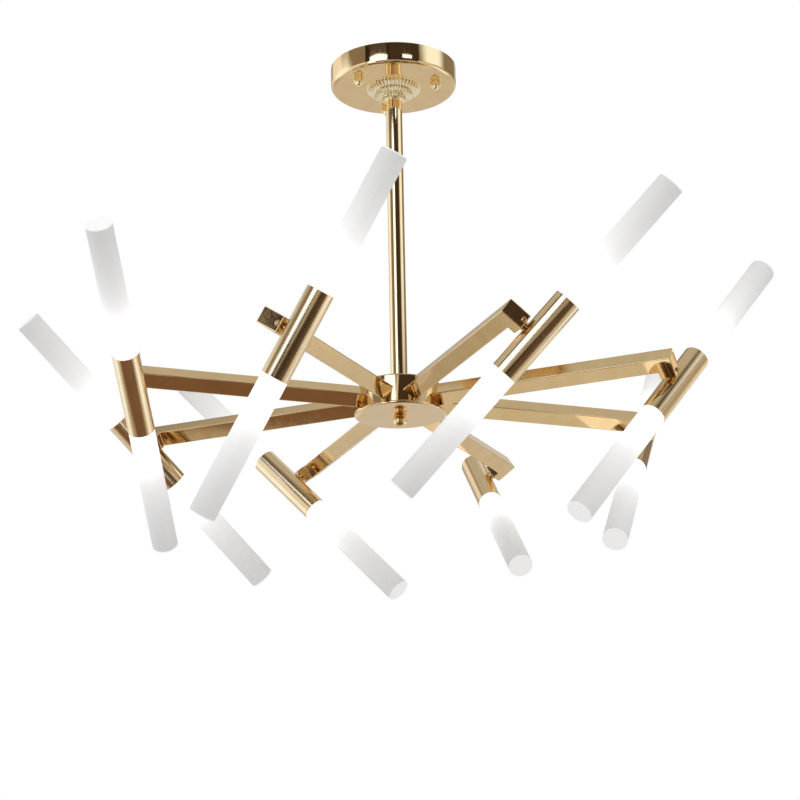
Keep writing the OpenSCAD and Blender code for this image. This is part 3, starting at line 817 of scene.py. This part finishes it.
def card(name, azimuth, elevation, distance, wide, high, colour, soft=0.0):
    """A studio card that only polished surfaces see; soft is the share that fades at its edges."""
    bpy.ops.object.select_all(action="DESELECT")
    bpy.ops.mesh.primitive_plane_add(size=1.0, location=(0, 0, 0))
    panel = fresh(name)
    panel.scale = (wide, high, 1)
    facing_hub(panel, toward(azimuth, elevation, distance))
    material = bpy.data.materials.new(name)
    material.use_nodes = True
    tree = material.node_tree
    tree.nodes.clear()
    glow = node(tree, "ShaderNodeEmission", {"Color": colour, "Strength": 1.0})
    out = tree.nodes.new("ShaderNodeOutputMaterial")
    if soft:
        apart = node(tree, "ShaderNodeSeparateXYZ")
        tree.links.new(object_place(tree), apart.inputs[0])
        fade = []
        for axis in "XY":
            off = node(tree, "ShaderNodeMath", operation="ABSOLUTE")
            tree.links.new(apart.outputs[axis], off.inputs[0])
            edge = node(tree, "ShaderNodeMapRange", {
                "From Min": 0.5 * (1 - soft), "From Max": 0.5, "To Min": 1.0, "To Max": 0.0},
                interpolation_type="SMOOTHSTEP")
            tree.links.new(off.outputs[0], edge.inputs["Value"])
            fade.append(edge.outputs["Result"])
        both = node(tree, "ShaderNodeMath", operation="MULTIPLY")
        tree.links.new(fade[0], both.inputs[0])
        tree.links.new(fade[1], both.inputs[1])
        clear = tree.nodes.new("ShaderNodeBsdfTransparent")
        blend = tree.nodes.new("ShaderNodeMixShader")
        tree.links.new(both.outputs[0], blend.inputs["Fac"])
        tree.links.new(clear.outputs[0], blend.inputs[1])
        tree.links.new(glow.outputs[0], blend.inputs[2])
        tree.links.new(blend.outputs[0], out.inputs["Surface"])
    else:
        tree.links.new(glow.outputs[0], out.inputs["Surface"])
    panel.data.materials.append(material)
    for ray in ("camera", "diffuse", "transmission", "volume_scatter", "shadow"):
        setattr(panel, f"visible_{ray}", False)
    panel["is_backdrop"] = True


def softbox(name, azimuth, elevation, distance, wide, high, radiance):
    """An area lamp that lights matt surfaces; neither the camera nor gloss sees it."""
    lamp = bpy.data.lights.new(name, "AREA")
    lamp.shape = "RECTANGLE"
    lamp.size, lamp.size_y = wide, high
    lamp.energy = radiance * math.pi * wide * high
    holder = bpy.data.objects.new(name, lamp)
    bpy.context.scene.collection.objects.link(holder)
    facing_hub(holder, toward(azimuth, elevation, distance))
    holder.visible_camera = holder.visible_glossy = False


DARK = (0.038, 0.025, 0.017, 1)
DUSK = (0.060, 0.043, 0.031, 1)
UMBER = (0.214, 0.127, 0.083, 1)
TAN = (0.285, 0.245, 0.197, 1)
BLIND = (0.095, 0.070, 0.052, 1)
SHADE = (0.114, 0.077, 0.056, 1)
HAZE = (0.59, 0.59, 0.59, 1)
SAND = (0.51, 0.47, 0.41, 1)
PALE = (0.66, 0.65, 0.64, 1)
SKY = (0.97, 1.04, 1.20, 1)
CREAM = (1.23, 1.42, 1.74, 1)
WHITE = (1.61, 1.98, 2.91, 1)
# Walls, ceiling and floor of the studio, as a polished surface sees them from the hub:
# azimuth from and to, elevation from and to, distance, colour, share of soft edge
for name, west, east, low, high, distance, colour, soft in (
        ("front_left", -47, -6, -3, 46, 3.9, DARK, 0.0),
        ("front_right", -7, 46.5, -8, 46, 3.8, DUSK, 0.0),
        ("front_ground", -13, 20, -36, -15.5, 1.25, DUSK, 0.0),
        ("front_floor", -13, 20, -15.5, -8, 1.24, SAND, 0.0),
        ("front_ground_right", 19, 53, -37, -16, 1.3, SHADE, 0.06),
        ("front_ground_left", -30, -13, -14, -3, 2.6, DARK, 0.06),
        ("front_floor_left", -30, -13, -28, -13.5, 2.6, UMBER, 0.0),
        ("window_foot", -44, -29.5, -30, -2, 2.65, CREAM, 0.0),
        ("viewer_ground", -14, 14, -60, -37, 1.5, DARK, 0.1),
        ("right_ground", 58, 128, -49, -34, 3.5, UMBER, 0.1),
        ("near_ground", -48, 48, -92, -44, 1.6, UMBER, 0.1),
        ("left_glow", -128, -45, -22, 13, 4.5, SKY, 0.2),
        ("left_ground", -125.5, -94.5, -60, -40, 1.55, SAND, 0.0),
        ("left_wall", -86, -45, 13, 39, 4.3, TAN, 0.15),
        ("right_front_wall", 44, 112, 11, 48, 4.4, TAN, 0.1),
        ("right_wall", 74, 114, -9, 13, 4.3, SAND, 0.3),
        ("right_rear_wall", 100, 160, 4, 50, 4.6, TAN, 0.3),
        ("left_rear_wall", -172, -104, 36, 63, 4.6, TAN, 0.25),
        ("rear_wall", 150, 186, 4, 48, 4.8, PALE, 0.1),
        ("rear_wall_left", 180, 215, 4, 48, 4.7, SAND, 0.1),
        ("rear_floor_left", -164, -137, -44, -18, 3.6, SAND, 0.2),
        ("ceiling_front", -45, 36, 40, 64, 4.0, TAN, 0.25),
        ("ceiling", -70, 70, 56, 124, 3.2, HAZE, 0.25),
        ("window_left", -39, -10, -2, 30.5, 2.7, WHITE, 0.0),
        ("window_left_low", -44, -38.5, -2, 17.5, 2.7, WHITE, 0.0),
        ("canopy_window", 20, 28, 57.4, 59.4, 0.572, WHITE, 0.0),
        ("window_blind", -41, -11, 30, 41, 2.75, BLIND, 0.3),
        ("light_left", -136, -78, -46, 36, 3.0, CREAM, 0.7),
        ("light_left_high", -124, -76, 7, 33, 3.2, CREAM, 0.6),
        ("light_right", 52, 106, 12, 50, 3.0, CREAM, 0.7),
        ("light_right_low", 78, 128, -35, -8, 3.0, CREAM, 0.35)):
    card(name, (west + east) / 2, (low + high) / 2, distance,
         2 * distance * math.tan(math.radians((east - west) / 2)),
         2 * distance * math.tan(math.radians((high - low) / 2)), colour, soft)
softbox("soft_left", -40, 30, distance=2.8, wide=1.6, high=1.6, radiance=0.9)
softbox("soft_right", 60, 30, distance=2.8, wide=1.6, high=1.6, radiance=0.5)

# Pale floor of the room, far below the hub
FLOOR_SIZE, FLOOR_Z = 60.0, -2.2
bpy.ops.object.select_all(action="DESELECT")
bpy.ops.mesh.primitive_plane_add(size=FLOOR_SIZE, location=(0, 0, FLOOR_Z))
floor = fresh("floor")
floor_paint, tree, shader = new_material("floor_paint")
shader.inputs["Roughness"].default_value = 0.8
fleck = node(tree, "ShaderNodeTexNoise", {"Scale": 30.0, "Detail": 3.0})
tree.links.new(object_place(tree), fleck.inputs["Vector"])
paint = node(tree, "ShaderNodeMix", data_type="RGBA")
paint.inputs[6].default_value = (0.80, 0.79, 0.78, 1)
paint.inputs[7].default_value = (0.84, 0.835, 0.83, 1)
tree.links.new(fleck.outputs["Fac"], paint.inputs["Factor"])
tree.links.new(paint.outputs[2], shader.inputs["Base Color"])
floor.data.materials.append(floor_paint)
floor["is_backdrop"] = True

# White world for the eye, for gloss and for glass; softer light on matt surfaces
world = bpy.data.worlds.new("studio")
bpy.context.scene.world = world
world.use_nodes = True
tree = world.node_tree
tree.nodes.clear()
path = node(tree, "ShaderNodeLightPath")
seen = node(tree, "ShaderNodeMath", operation="MAXIMUM")
tree.links.new(path.outputs["Is Camera Ray"], seen.inputs[0])
tree.links.new(path.outputs["Is Glossy Ray"], seen.inputs[1])
seen_too = node(tree, "ShaderNodeMath", operation="MAXIMUM")
tree.links.new(seen.outputs[0], seen_too.inputs[0])
tree.links.new(path.outputs["Is Transmission Ray"], seen_too.inputs[1])
soft = node(tree, "ShaderNodeBackground", {"Color": (0.80, 0.80, 0.80, 1), "Strength": 1.0})
white = node(tree, "ShaderNodeBackground", {"Color": (1, 1, 1, 1), "Strength": 1.0})
blend = node(tree, "ShaderNodeMixShader")
out = node(tree, "ShaderNodeOutputWorld")
tree.links.new(seen_too.outputs[0], blend.inputs["Fac"])
tree.links.new(soft.outputs[0], blend.inputs[1])
tree.links.new(white.outputs[0], blend.inputs[2])
tree.links.new(blend.outputs[0], out.inputs["Surface"])

# Camera: in front and below, looking up by about 16 degrees and leaning by one. Its place is in
# metres, its sensor and lens are in millimetres, and its shift is a share of the picture.
EYE_PLACE, EYE_RIGHT = (0.06776, -2.5031, -1.17878), (0.999302, 0.032497, -0.018424)
EYE_UP, EYE_SENSOR, EYE_LENS, EYE_SHIFT = (0.026463, -0.267704, 0.963138), 36.0, 102.23, 0.06947
eye = bpy.data.cameras.new("camera")
camera = bpy.data.objects.new("camera", eye)
bpy.context.scene.collection.objects.link(camera)
right, upward = Vector(EYE_RIGHT), Vector(EYE_UP)
camera.matrix_world = Matrix.Translation(EYE_PLACE) \
    @ Matrix((right, upward, right.cross(upward))).transposed().to_4x4()
eye.sensor_width, eye.lens, eye.shift_y = EYE_SENSOR, EYE_LENS, EYE_SHIFT
bpy.context.scene.camera = camera
bpy.context.scene.view_settings.view_transform = "Standard"

low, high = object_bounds()
